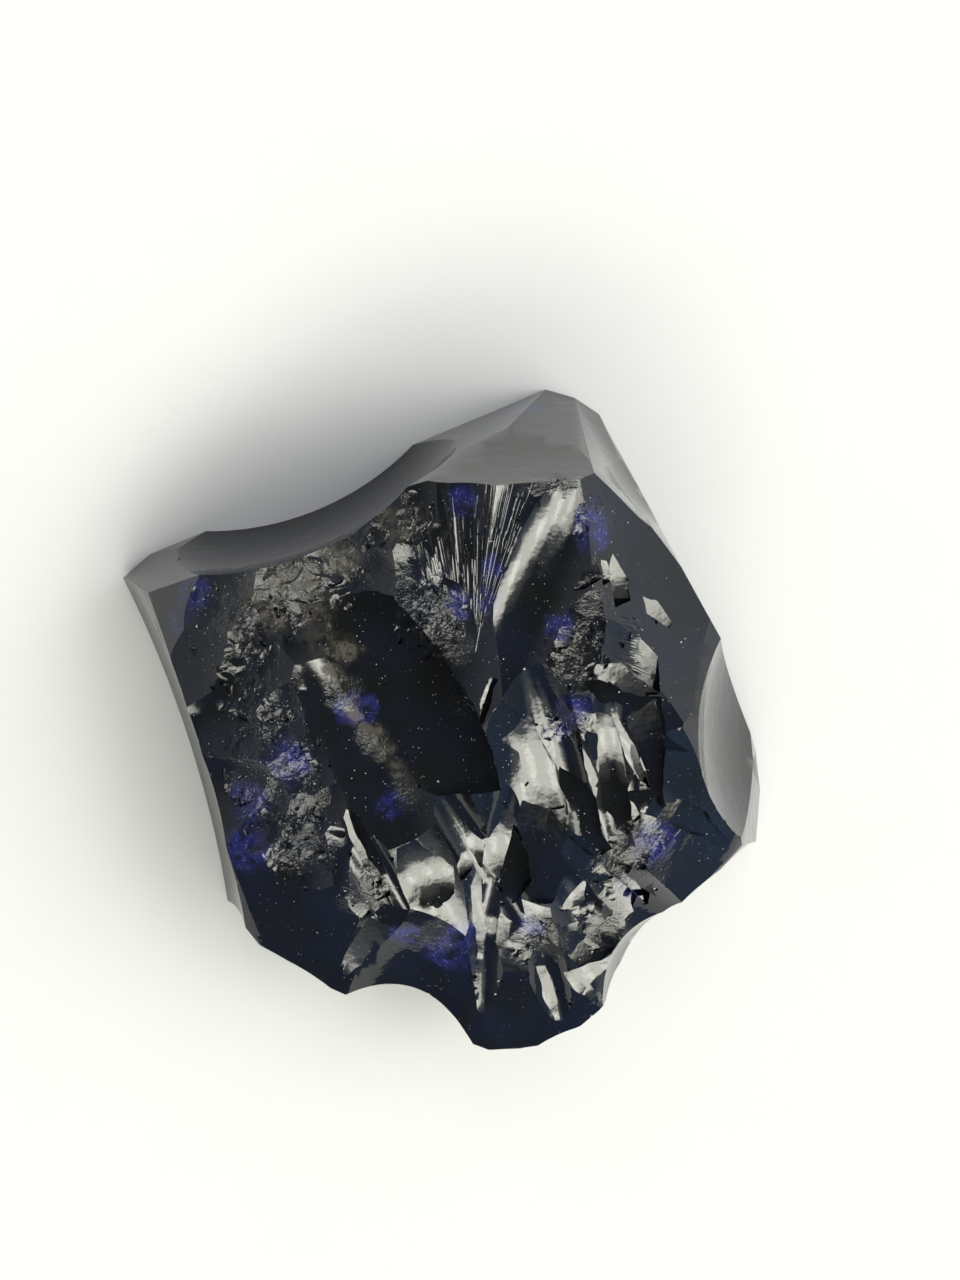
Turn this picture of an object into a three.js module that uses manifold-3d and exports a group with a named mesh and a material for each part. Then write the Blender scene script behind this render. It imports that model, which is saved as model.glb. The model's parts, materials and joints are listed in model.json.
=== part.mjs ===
// A lump of near-black blue glass, freshly broken all over: one solid, standing on a flat broken base.
// Millimetres, +Z up, the base on Z = 0 and the middle of the lump's box on the Z axis.
// Seen from above with +Y at the back: the tall edge runs along the back, a thin tip points left.
// The shape is a rough block with shell-shaped scars taken out of it; arrises are left where scars meet.
import * as THREE from "three";
import { ConvexGeometry } from "three/addons/geometries/ConvexGeometry.js";
import { mergeVertices } from "three/addons/utils/BufferGeometryUtils.js";
import Module from "manifold-3d";

// Finish: glass so dark that only thin edges show its blue.
const GLASS_COLOUR = 0x0d1220;
const GLASS_ROUGHNESS = 0.1;
const GLASS_METALNESS = 0;

// Meshing of one scar: rings from its floor outward, packed toward the floor, and sides round it.
const SCAR_RINGS = 10;
const SCAR_SIDES = 17;
const RING_PACKING = 1.6;
// Half height of the bowl that cuts a flute, and of the wider bowl that cuts a facet.
const FLUTE_BOWL = 10;
const FACET_BOWL = 25;
const WELD = 1e-5;

// Corners of the rough block, each [x, y, z]. First the outline of the base, from the left tip by way of
// the back.
const BASE_CORNERS = [
  [-38.5, 15.5, 1.5], [-35.5, 18.5, 0], [1, 33.5, 0], [12.5, 38.5, 0], [16, 37.5, 0],
  [19, 35.5, 0], [25.5, 22, 0], [38, -5.5, 0], [38.5, -10, 0], [37.5, -16, 3],
  [24, -24, 0], [7, -34.5, 0], [-13.5, -29.5, 0], [-26, -24, 0],
];
// The rim, where the top breaks over into the sides, from the left by way of the back.
const RIM_CORNERS = [
  [-33, 13.5, 13], [-21, 16.5, 24.5], [-12.5, 20.5, 28.5], [-4, 23, 31.5], [2.5, 24.5, 34.5],
  [16, 24, 35.5], [23.5, 16, 33], [27, 12.5, 29], [31, 7, 23], [33.5, -14.5, 17],
  [24.5, -23, 18], [18, -33.5, 14], [13.5, -38, 11.5], [9, -38.75, 11], [5.5, -38.75, 11],
  [-12, -31.5, 13.5], [-19.5, -27.5, 13], [-23.5, -22, 14.5], [-23, -15, 19.5], [-25.5, -3, 22],
];
// High places inside the rim that the scars are cut down from.
const CROWN_CORNERS = [
  [23.5, 0.5, 31], [12.5, 0, 31], [-11, 1.5, 27], [1.5, -12, 26],
  [-10, -15.5, 23], [3.5, -20, 22.5], [13, -20, 22.5], [22.5, -15.5, 23],
];

// Every scar is [x, y, z, heading, slope, roll, along, across]. Its floor passes through x, y, z and falls
// by slope degrees toward heading, which is counted from +X round to +Y; roll tips it to the right of the
// heading. Along and across are the radii of the floor's curves down the heading and over it.
const FLUTES = [
  // the long channel from the back edge, and the ribbed strip on its left
  [11, 15.2, 30.1, -112, 15, 0, 45, 8],
  [7.4, 18, 31.5, -108, 13, 0, 80, 9],
  [5.5, 15.5, 30.7, -106, 13, 0, 80, 4],
  // dark flutes behind the crushed patch, then the patch
  [2.5, 16, 30.1, -86, 8, 0, 80, 5],
  [0, 17.5, 29.9, -80, 8, 0, 80, 5],
  [-2, 18.5, 29.4, -78, 8, 0, 80, 5],
  [-1.5, 11, 27.5, -70, 8, 0, 20, 12],
  [1, 8, 26.4, -80, 10, 10, 20, 10],
  [-4, 13.5, 27.5, -100, 8, 0, 15, 6],
  // the dark valley down the middle and its lower end
  [-3, 1, 21.3, -50, 2, 0, 45, 4.4],
  [1.5, -5, 21.6, -52, 8, 0, 30, 4.6],
  // small facets in the back left corner, above the valley's head
  [-3.5, 19.5, 29.1, -90, 8, 0, 40, 6],
  [-8, 18, 27.2, -110, 10, 0, 40, 5],
  [-13.5, 15, 24.7, -120, 8, 0, 40, 6],
  [-17.5, 13, 23.3, -130, 8, 0, 20, 5],
  [-12.5, 12, 23.2, -150, 12, 0, 20, 10],
  // the strip beside the valley, the eye-shaped scar and the grey facets of the left edge
  [-14, 2.5, 23.2, -52, 6, 11, 40, 12],
  [-20, 9.5, 22.3, -90, 5, 0, 8, 10],
  [-22.5, 5, 20.7, -120, 12, 0, 25, 12],
  [-27.5, 12.5, 18.5, -160, 22, 0, 30, 10],
  [-28.5, 7, 17.6, -165, 28, 0, 40, 15],
  [-23.5, -2, 19.3, 180, 18, 0, 25, 8],
  [-23, -9.5, 18.2, 180, 20, 0, 25, 8],
  // chips of the crushed left side
  [-18.5, 0, 21.2, -90, 10, 0, 10, 6],
  [-16.5, -5, 21.4, -60, 12, 0, 10, 7],
  [-13.5, -9.5, 21.2, -110, 12, 0, 10, 7],
  [-19.5, -10, 19.6, -130, 14, 0, 10, 6],
  [-11.5, -13.5, 21, -90, 14, 0, 10, 6],
  [-15.5, -14, 19.9, -90, 16, 0, 10, 7],
  // the dark hollow left of the valley's end, the bright flute below it and the twin grooves beside that
  [-8, -6, 21.9, -60, 2, 0, 60, 8],
  [-1.5, -18.5, 20.2, -68, 20, 0, 80, 12],
  [-8, -14, 21.6, -62, 18, 0, 60, 2],
  [-10, -13.5, 21.6, -62, 18, 0, 60, 2],
  // the forked flute at the front, its two arms and its tail
  [5.5, -16, 20.6, -93, 22, 0, 60, 5],
  [3, -13, 21.1, -60, 22, 0, 40, 2.4],
  [7.5, -11.5, 21.5, -100, 24, 0, 40, 2.4],
  [4.5, -25, 17.4, -92, 26, 0, 60, 3],
  // the wide bright flute under the channel and the duller floor it runs out on
  [10, -5.5, 23.7, -78, 22, 0, 35, 8],
  [10, -16.5, 20.1, -75, 10, 0, 80, 7],
  [10.5, -23.5, 17.9, -100, 12, 0, 60, 7],
  // the comb of narrow flutes on the right, from the middle outward
  [15, -9, 23.3, -78, 14, 26, 60, 4],
  [16.5, -6.5, 24.9, -72, 22, 0, 40, 1.8],
  [18.5, -3.5, 26.9, -80, 22, 0, 50, 4],
  [18.5, -10, 24.4, -95, 8, 12, 40, 3.6],
  [20.5, -3, 27.8, -68, 20, 0, 60, 2],
  [22, -9, 25.2, -75, 22, 0, 40, 3],
  // the fan-shaped scar, its rays and pit, the step under it and the chip in the rim behind it
  [21, 7, 29.7, -20, 21, 0, 30, 40],
  [17, 14, 32, -60, 10, 0, 40, 8],
  [19.5, 14, 32.3, -75, 20, 0, 60, 3],
  [14, 7.5, 29.4, -120, 10, 0, 8, 6],
  [18.5, 2, 29.2, -100, 42, 0, 8, 20],
  [16.5, 21.5, 33.4, -60, 10, 0, 12, 5],
  // the ledge and the round chip on the right
  [25, -4, 26.7, -50, 34, 0, 40, 12],
  [24.5, -13, 22.8, -30, 26, 0, 8, 8],
  // steps and slivers at the lower right
  [15, -20, 19.5, -60, 22, 0, 30, 4],
  [18, -19, 20.1, -45, 44, 0, 60, 5],
  [19, -24, 17.7, -45, 32, 0, 30, 8],
  [18, -29.5, 15.1, -55, 24, 0, 40, 8],
  [22.5, -21, 19.1, -50, 36, 0, 40, 2.4],
  [24, -22, 18, -50, 36, 0, 40, 2.4],
  [12.5, -31.5, 14.4, -80, 24, 0, 50, 2.4],
  // facets over the front hollow and the front tip, and the chip out of the back rim
  [-8, -26.5, 15.9, -80, 33, 0, 30, 8],
  [-0.5, -25, 16.8, -100, 35, 0, 60, 14],
  [9, -28, 16.3, -115, 32, 0, 60, 7],
  [18.5, 30.5, 20, 45, 75, 0, 20, 6],
];
const FACETS = [
  // the smooth front left plane and its turned-down rim
  [-16.5, -23, 16.7, -105, 34, 0, 80, 60],
  [-20.5, -28, 13, -125, 48, 0, 40, 60],
  // the hollow in the front side and the plane of the front tip
  [-2.5, -31.6, 7, -111, 88, 0, 60, 9.5],
  [-2.5, -29.3, 13.2, -106, 35, 0, 60, 10],
  [8.5, -35, 12.9, -85, 32, 0, 60, 40],
  // the front right plane, the right flank, the right side
  [29, -14.5, 19.5, -45, 38, 0, 100, 60],
  [27.5, 10, 27.3, 22, 36, 0, 60, 60],
  [26.5, 3, 26.6, 28, 34, 0, 60, 60],
  [29.5, 0, 24.5, 18, 47, 0, 60, 40],
  [34.3, -5.5, 9, 12, 60, 0, 60, 26],
  // the hollow back
  [8, 31.4, 17.4, 95, 61, 0, 150, 150],
  // the back right facet, the hollow back left side and the hollow back right side
  [20.5, 17.5, 33.1, 30, 12, 0, 60, 40],
  [-13.5, 22.5, 4, 114, 66, 0, 60, 40],
  [23, 28.5, 6, 30, 64, 0, 60, 20],
  // the left side and the corner between the front tip and the front right plane
  [-29.5, -4, 3, -162, 70, 0, 60, 140],
  [23, -26, 8, -48, 68, 0, 60, 9],
  // hollows in the front sides, under the rim
  [29.5, -18.5, 9, -55, 84, 0, 40, 25],
  [-19, -25.5, 6.5, -115, 94, 0, 30, 30],
  [15, -31.5, 6, -58, 112, 0, 30, 25],
];

const wasm = await Module();
wasm.setup();

// A closed solid from a geometry, welded on position alone.
function solidOf(geometry) {
  const loose = geometry.index ? geometry.toNonIndexed() : geometry;
  const bare = new THREE.BufferGeometry().setAttribute("position", loose.getAttribute("position"));
  const welded = mergeVertices(bare, WELD);
  const mesh = new wasm.Mesh({
    numProp: 3,
    vertProperties: welded.getAttribute("position").array,
    triVerts: new Uint32Array(welded.index.array),
  });
  return new wasm.Manifold(mesh);
}

// A ball of radius 1 with its rings packed toward the lowest point.
function ballProfile() {
  const profile = [];
  for (let ring = 0; ring <= SCAR_RINGS; ring += 1) {
    const turn = Math.PI * (ring / SCAR_RINGS) ** RING_PACKING;
    const onAxis = ring === 0 || ring === SCAR_RINGS;
    profile.push(new THREE.Vector2(onAxis ? 0 : Math.sin(turn), -Math.cos(turn)));
  }
  return profile;
}

// The bowl that cuts one scar, stretched to the two radii of its floor, tipped and set in place.
function bowlOf([x, y, z, heading, slope, roll, along, across], halfHeight) {
  const bowl = new THREE.LatheGeometry(ballProfile(), SCAR_SIDES).rotateX(Math.PI / 2);
  bowl.scale(Math.sqrt(along * halfHeight), Math.sqrt(across * halfHeight), halfHeight);
  bowl.translate(0, 0, halfHeight);
  const [tip, fall, turn] = [roll, slope, heading].map(THREE.MathUtils.degToRad);
  bowl.applyMatrix4(new THREE.Matrix4().makeRotationFromEuler(new THREE.Euler(tip, fall, turn, "ZYX")));
  return solidOf(bowl.translate(x, y, z));
}

const corners = [...BASE_CORNERS, ...RIM_CORNERS, ...CROWN_CORNERS];
let lump = solidOf(new ConvexGeometry(corners.map((corner) => new THREE.Vector3(...corner))));
for (const scar of FACETS) {
  lump = lump.subtract(bowlOf(scar, FACET_BOWL));
}
for (const scar of FLUTES) {
  lump = lump.subtract(bowlOf(scar, FLUTE_BOWL));
}

// The finished surface, with the middle of its box brought over the origin.
const surface = lump.getMesh();
const geometry = new THREE.BufferGeometry();
geometry.setAttribute("position", new THREE.BufferAttribute(new Float32Array(surface.vertProperties), 3));
geometry.setIndex(new THREE.BufferAttribute(new Uint32Array(surface.triVerts), 1));
geometry.computeBoundingBox();
const middle = geometry.boundingBox.getCenter(new THREE.Vector3());
geometry.translate(-middle.x, -middle.y, 0);
geometry.computeVertexNormals();

const glass = new THREE.MeshStandardMaterial({
  color: GLASS_COLOUR,
  roughness: GLASS_ROUGHNESS,
  metalness: GLASS_METALNESS,
});
const tektite = new THREE.Mesh(geometry, glass);
tektite.name = "tektite";

const part = new THREE.Group();
part.name = "part";
part.add(tektite);
export default part;
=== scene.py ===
# %% [markdown]
# # A broken lump of near-black blue glass
# The piece is one heavy lump of cobalt glass, about 77 mm across and 34 mm high, broken on every side. It
# looks black, because the glass lets light through only where it is thin or crushed, and there it shows blue.
# Everything that the eye reads on it is a scar: a shallow shell-shaped hollow left where a flake came away.
# So the lump is not modelled by pulling a surface about. It is made as it was made: a rough block first, then
# one scar after another taken out of it, from large planes to single crushed grains.

# %% Load the measured frame
import json
import math
import random

import bmesh
import bpy
from mathutils import Euler, Matrix, Vector, kdtree
from mathutils import noise as noise_at

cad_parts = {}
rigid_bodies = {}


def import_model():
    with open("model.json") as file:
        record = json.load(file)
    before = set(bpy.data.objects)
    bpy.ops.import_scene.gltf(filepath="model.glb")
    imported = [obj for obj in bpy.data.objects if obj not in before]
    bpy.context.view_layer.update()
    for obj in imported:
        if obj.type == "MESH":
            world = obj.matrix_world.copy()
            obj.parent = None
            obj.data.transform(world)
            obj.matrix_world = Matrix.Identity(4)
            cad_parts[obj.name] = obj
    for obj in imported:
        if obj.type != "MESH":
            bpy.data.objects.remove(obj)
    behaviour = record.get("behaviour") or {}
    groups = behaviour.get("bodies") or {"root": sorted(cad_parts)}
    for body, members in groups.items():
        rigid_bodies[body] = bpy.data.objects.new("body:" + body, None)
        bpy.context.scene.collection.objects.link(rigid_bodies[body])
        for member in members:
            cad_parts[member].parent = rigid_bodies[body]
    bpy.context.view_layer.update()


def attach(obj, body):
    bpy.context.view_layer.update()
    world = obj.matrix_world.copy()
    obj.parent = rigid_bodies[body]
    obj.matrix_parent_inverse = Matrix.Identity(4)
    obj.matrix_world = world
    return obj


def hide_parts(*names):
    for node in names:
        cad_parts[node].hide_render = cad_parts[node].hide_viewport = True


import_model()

MM = 0.001

# %% [markdown]
# ## The rough block
# Before any flake is struck, think of the lump as a block with flat faces through its outermost corners. It
# could be started from a cube with its corners dragged out, but the corners are what is known, so they are
# put in as loose points and Blender wraps them in the tightest closed skin with Convex Hull. All lengths here
# are millimetres, +Y is the back and +Z is up; the lump is brought to metres when its shape is finished.

# %% Corners of the block
BASE_CORNERS = [
    (-38.5, 15.5, 1.5), (-35.5, 18.5, 0), (1, 33.5, 0), (12.5, 38.5, 0), (16, 37.5, 0),
    (19, 35.5, 0), (25.5, 22, 0), (38, -5.5, 0), (38.5, -10, 0), (37.5, -16, 3),
    (24, -24, 0), (7, -34.5, 0), (-13.5, -29.5, 0), (-26, -24, 0),
]
RIM_CORNERS = [
    (-33, 13.5, 13), (-21, 16.5, 24.5), (-12.5, 20.5, 28.5), (-4, 23, 31.5), (2.5, 24.5, 34.5),
    (16, 24, 35.5), (23.5, 16, 33), (27, 12.5, 29), (31, 7, 23), (33.5, -14.5, 17),
    (24.5, -23, 18), (18, -33.5, 14), (13.5, -38, 11.5), (9, -38.75, 11), (5.5, -38.75, 11),
    (-12, -31.5, 13.5), (-19.5, -27.5, 13), (-23.5, -22, 14.5), (-23, -15, 19.5), (-25.5, -3, 22),
]
CROWN_CORNERS = [
    (23.5, 0.5, 31), (12.5, 0, 31), (-11, 1.5, 27), (1.5, -12, 26),
    (-10, -15.5, 23), (3.5, -20, 22.5), (13, -20, 22.5), (22.5, -15.5, 23),
]

# %% Wrap the corners in a skin
def only(piece):
    """Deselect everything, then select one piece and make it active."""
    bpy.ops.object.select_all(action="DESELECT")
    piece.select_set(True)
    bpy.context.view_layer.objects.active = piece


def edit(piece, *steps):
    """Run edit-mode steps on the whole of one piece."""
    only(piece)
    bpy.ops.object.mode_set(mode="EDIT")
    bpy.ops.mesh.select_all(action="SELECT")
    for step in steps:
        step()
    bpy.ops.object.mode_set(mode="OBJECT")


skin = bpy.data.meshes.new("broken_lump")
skin.from_pydata(BASE_CORNERS + RIM_CORNERS + CROWN_CORNERS, [], [])
lump = bpy.data.objects.new("broken_lump", skin)
bpy.context.scene.collection.objects.link(lump)
edit(lump, bpy.ops.mesh.convex_hull)
print("block:", len(skin.polygons), "flat faces")

# %% [markdown]
# ## The scars
# Glass breaks like a shell: each scar is a smooth, slightly hollow floor, and two scars meet in a sharp edge
# called an arris. A stretched ball pressed into the block leaves just such a floor, so every scar is a ball
# taken away with a Boolean modifier. Flutes are long and narrow, facets are wide and nearly flat. The balls
# have many sides, because a glossy floor shows each flat step in its reflections. One Boolean takes a whole
# collection of balls at once, and the Manifold solver keeps the lump closed.

# %% How a scar is written
# Every scar is (x, y, z, heading, slope, roll, along, across). Its floor passes through x, y, z and falls by
# slope degrees toward heading, which is counted from +X round to +Y; roll tips it to the right of the
# heading. Along and across are the radii of the floor's curves down the heading and over it.
FLUTE_BALL = 10
FACET_BALL = 25
BALL_SIDES = 128
BALL_RINGS = 56

FLUTES = [
    # the long channel from the back edge, and the ribbed strip on its left
    (11, 15.2, 30.1, -112, 15, 0, 45, 8),
    (7.4, 18, 31.5, -108, 13, 0, 80, 9),
    (5.5, 15.5, 30.7, -106, 13, 0, 80, 4),
    # dark flutes behind the crushed patch, then the patch
    (2.5, 16, 30.1, -86, 8, 0, 80, 5),
    (0, 17.5, 29.9, -80, 8, 0, 80, 5),
    (-2, 18.5, 29.4, -78, 8, 0, 80, 5),
    (-1.5, 11, 27.5, -70, 8, 0, 20, 12),
    (1, 8, 26.4, -80, 10, 10, 20, 10),
    (-4, 13.5, 27.5, -100, 8, 0, 15, 6),
    # small facets in the back left corner, above the valley's head
    (-3.5, 19.5, 29.1, -90, 8, 0, 40, 6),
    (-8, 18, 27.2, -110, 10, 0, 40, 5),
    (-13.5, 15, 24.7, -120, 8, 0, 40, 6),
    (-17.5, 13, 23.3, -130, 8, 0, 20, 5),
    (-12.5, 12, 23.2, -150, 12, 0, 20, 10),
    # the strip beside the valley, the eye-shaped scar and the grey facets of the left edge
    (-14, 2.5, 23.2, -52, 6, 11, 40, 12),
    (-20, 9.5, 22.3, -90, 5, 0, 8, 10),
    (-22.5, 5, 20.7, -120, 12, 0, 25, 12),
    (-27.5, 12.5, 18.5, -160, 22, 0, 30, 10),
    (-28.5, 7, 17.6, -165, 28, 0, 40, 15),
    (-23.5, -2, 19.3, 180, 18, 0, 25, 8),
    (-23, -9.5, 18.2, 180, 20, 0, 25, 8),
    # chips of the crushed left side
    (-18.5, 0, 21.2, -90, 10, 0, 10, 6),
    (-16.5, -5, 21.4, -60, 12, 0, 10, 7),
    (-13.5, -9.5, 21.2, -110, 12, 0, 10, 7),
    (-19.5, -10, 19.6, -130, 14, 0, 10, 6),
    (-11.5, -13.5, 21, -90, 14, 0, 10, 6),
    (-15.5, -14, 19.9, -90, 16, 0, 10, 7),
    # the dark hollow left of the valley's end, the bright flute below it and the twin grooves beside that
    (-8, -6, 21.9, -60, 2, 0, 60, 8),
    (-1.5, -18.5, 20.2, -68, 20, 0, 80, 12),
    (-8, -14, 21.6, -62, 18, 0, 60, 2),
    (-10, -13.5, 21.6, -62, 18, 0, 60, 2),
    # the forked flute at the front, its two arms and its tail
    (5.5, -16, 20.6, -93, 22, 0, 60, 5),
    (3, -13, 21.1, -60, 22, 0, 40, 2.4),
    (7.5, -11.5, 21.5, -100, 24, 0, 40, 2.4),
    (4.5, -25, 17.4, -92, 26, 0, 60, 3),
    # the wide bright flute under the channel and the duller floor it runs out on
    (10, -5.5, 23.7, -78, 22, 0, 30, 8),
    # the comb of narrow flutes on the right, from the middle outward
    (15, -9, 23.3, -78, 14, 26, 60, 4),
    (16.5, -6.5, 24.9, -72, 22, 0, 40, 1.8),
    (18.5, -3.5, 26.9, -80, 22, 0, 50, 4),
    (18.5, -10, 24.4, -95, 8, 12, 40, 3.6),
    (20.5, -3, 27.8, -68, 20, 0, 60, 2),
    (22, -9, 25.2, -75, 22, 0, 40, 3),
    # the fan-shaped scar, its rays and pit, the step under it and the chip in the rim behind it
    (21, 7, 29.7, -20, 21, 0, 30, 40),
    (17, 14, 32, -60, 10, 0, 40, 8),
    (19.5, 14, 32.3, -75, 20, 0, 60, 3),
    (18.5, 2, 29.2, -100, 42, 0, 8, 20),
    (16.5, 21.5, 33.4, -60, 10, 0, 12, 5),
    # the ledge and the round chip on the right
    (25, -4, 26.7, -50, 34, 0, 40, 12),
    (24.5, -13, 22.8, -30, 26, 0, 8, 8),
    # steps and slivers at the lower right
    (15, -20, 19.5, -60, 22, 0, 30, 4),
    (18, -19, 20.1, -45, 44, 0, 60, 5),
    (19, -24, 17.7, -45, 32, 0, 30, 8),
    (18, -29.5, 15.1, -55, 24, 0, 40, 8),
    (22.5, -21, 19.1, -50, 36, 0, 40, 2.4),
    (24, -22, 18, -50, 36, 0, 40, 2.4),
    (12.5, -31.5, 14.4, -80, 24, 0, 50, 2.4),
    # facets over the front hollow and the front tip, and the chip out of the back rim
    (-8, -26.5, 15.9, -80, 33, 0, 30, 8),
    (-0.5, -25, 16.8, -100, 35, 0, 60, 14),
    (18.5, 30.5, 20, 45, 75, 0, 20, 6),
]
FACETS = [
    # the smooth front left plane and its turned-down rim
    (-16.5, -23, 16.7, -105, 34, 0, 80, 60),
    (-20.5, -28, 13, -125, 48, 0, 40, 60),
    # the hollow in the front side and the plane of the front tip
    (-2.5, -31.6, 7, -111, 88, 0, 60, 9.5),
    (-2.5, -29.3, 13.2, -106, 35, 0, 60, 10),
    (8.5, -35, 12.9, -85, 32, 0, 60, 40),
    # the front right plane, the right flank, the right side
    (29, -14.5, 19.5, -45, 38, 0, 100, 60),
    (27.5, 10, 27.3, 22, 36, 0, 60, 60),
    (26.5, 3, 26.6, 28, 34, 0, 60, 60),
    (29.5, 0, 24.5, 18, 47, 0, 60, 40),
    (34.3, -5.5, 9, 12, 60, 0, 60, 26),
    # the hollow back
    (8, 31.4, 17.4, 95, 61, 0, 150, 150),
    # the back right facet, the hollow back left side and the hollow back right side
    (20.5, 17.5, 33.1, 30, 12, 0, 60, 40),
    (-13.5, 22.5, 4, 114, 66, 0, 60, 40),
    (23, 28.5, 6, 30, 64, 0, 60, 20),
    # the left side and the corner between the front tip and the front right plane
    (-29.5, -4, 3, -162, 70, 0, 60, 140),
    (23, -26, 8, -48, 68, 0, 60, 9),
    # hollows in the front sides, under the rim
    (29.5, -18.5, 9, -55, 84, 0, 40, 25),
    (-19, -25.5, 6.5, -115, 94, 0, 30, 30),
    (15, -31.5, 6, -58, 112, 0, 30, 25),
]

# Some scars end in a steep step. Such a scar has an outline in plan, and cuts only inside it.
TOP = 60
RAGGED_STEP = 0.45
RAGGED_SIZE = 1.3
RAGGED_BY = 0.24
BOUNDED = [
    # the dark valley down the middle
    ((-2.5, 2.3, 22.0, 33, 7, 0, 60, 80),
     [(-11.1, 12.5), (-7.5, 13.4), (-4.6, 12.8), (0.2, 7.2), (3.6, 1.8), (5.8, -3.4), (6.7, -7.9),
      (0.2, -8.4), (-3.6, -7.3), (-6.8, -2), (-10, 2.9), (-12.5, 8.2)]),
    # the duller floor under the wide bright flute
    ((10.5, -15, 21.1, -88, 9, 0, 80, 80),
     [(7.5, -13.9), (9, -9), (11.9, -9.9), (13.7, -12.3), (17.5, -14.5), (16.4, -16.4), (13.7, -18.2),
      (12.3, -20.4), (8.3, -19.9)]),
    # the streaked floor between the forked flute and the front tip
    ((9.5, -25, 18.0, -95, 13, 0, 60, 60),
     [(5.8, -19.3), (12.2, -20.9), (13.3, -24.8), (12.8, -27.5), (8.9, -30.3), (5.6, -30.3)]),
    # the rubble between the channel and the fan
    ((14.2, 7, 29.9, -120, 6, 0, 40, 40),
     [(11.0, 8.2), (13.2, 12.0), (16.8, 13.4), (17.4, 10), (16.8, 6), (15.4, 2.9), (12.8, 2.0), (11.2, 4.2)]),
]

# %% Take the scars out of the block
def unit_ball(sides, rings):
    """A round ball of radius 1 lying on its side, with its poles on the X axis."""
    bpy.ops.object.select_all(action="DESELECT")
    bpy.ops.mesh.primitive_uv_sphere_add(segments=sides, ring_count=rings, radius=1)
    ball = bpy.context.object
    ball.data.transform(Matrix.Rotation(math.pi / 2, 4, "Y"))
    return ball


def pressed_ball(ball, scar, half_height):
    """A copy of the ball, stretched and set so that its underside is the floor of the scar."""
    x, y, z, heading, slope, roll, along, across = scar
    turn = Euler([math.radians(angle) for angle in (roll, slope, heading)])
    copy = ball.copy()
    copy.scale = (math.sqrt(along * half_height), math.sqrt(across * half_height), half_height)
    copy.rotation_euler = turn
    copy.location = Vector((x, y, z)) + turn.to_matrix() @ Vector((0, 0, half_height))
    return copy


def take_away(cutters):
    """Cut all the cutters out of the lump with one Boolean, then throw them away."""
    tray = bpy.data.collections.new("cutters")
    bpy.context.scene.collection.children.link(tray)
    for cutter in cutters:
        tray.objects.link(cutter)
    only(lump)
    broken = lump.modifiers.new("broken_away", "BOOLEAN")
    broken.operation = "DIFFERENCE"
    broken.solver = "MANIFOLD"
    broken.operand_type = "COLLECTION"
    broken.collection = tray
    bpy.ops.object.modifier_apply(modifier=broken.name)
    for cutter in cutters:
        bpy.data.objects.remove(cutter)
    bpy.data.collections.remove(tray)


def ragged(outline):
    """The same outline with more corners, each strayed a little, so that no edge is ruled straight."""
    corners = []
    for one, other in zip(outline, outline[1:] + outline[:1]):
        one, other = Vector((*one, 0)), Vector((*other, 0))
        steps = max(1, round((other - one).length / RAGGED_STEP))
        corners += [one.lerp(other, step / steps) for step in range(steps)]
    return [corner + noise_at.noise_vector(corner / RAGGED_SIZE) * RAGGED_BY for corner in corners]


def prism(outline):
    """A tall closed block over an outline given in plan."""
    corners = ragged(outline)
    sheet = bpy.data.meshes.new("outline")
    sheet.from_pydata([(corner.x, corner.y, 0) for corner in corners], [], [range(len(corners))])
    block = bpy.data.objects.new("outline", sheet)
    bpy.context.scene.collection.objects.link(block)

    def raise_up():
        bpy.ops.mesh.extrude_region_move(TRANSFORM_OT_translate={"value": (0, 0, TOP)})

    def face_outwards():
        bpy.ops.mesh.select_all(action="SELECT")
        bpy.ops.mesh.normals_make_consistent(inside=False)

    edit(block, raise_up, face_outwards)
    return block


def bounded_ball(ball, scar, outline):
    """A pressed ball that cuts only inside an outline."""
    copy = pressed_ball(ball, scar, FACET_BALL)
    keep = copy.modifiers.new("keep_inside", "BOOLEAN")
    keep.operation = "INTERSECT"
    keep.solver = "MANIFOLD"
    keep.object = prism(outline)
    return copy


def drop_outlines():
    """Throw away the blocks that bounded the scars."""
    for block in [piece for piece in bpy.data.objects if piece.name.startswith("outline")]:
        bpy.data.meshes.remove(block.data)


ball = unit_ball(BALL_SIDES, BALL_RINGS)
take_away([pressed_ball(ball, scar, FACET_BALL) for scar in FACETS]
          + [pressed_ball(ball, scar, FLUTE_BALL) for scar in FLUTES]
          + [bounded_ball(ball, scar, outline) for scar, outline in BOUNDED])
drop_outlines()
print("scarred:", len(lump.data.polygons), "faces")

# %% Bring the middle of the lump over the origin
def sides_of(piece, axis):
    """Lowest and highest place of a piece's points on one axis."""
    places = [point.co[axis] for point in piece.data.vertices]
    return min(places), max(places)


middle = [sum(sides_of(lump, axis)) / 2 for axis in (0, 1)]
lump.data.transform(Matrix.Translation((-middle[0], -middle[1], 0)))
print("moved by", [round(-place, 3) for place in middle], "mm")
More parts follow.
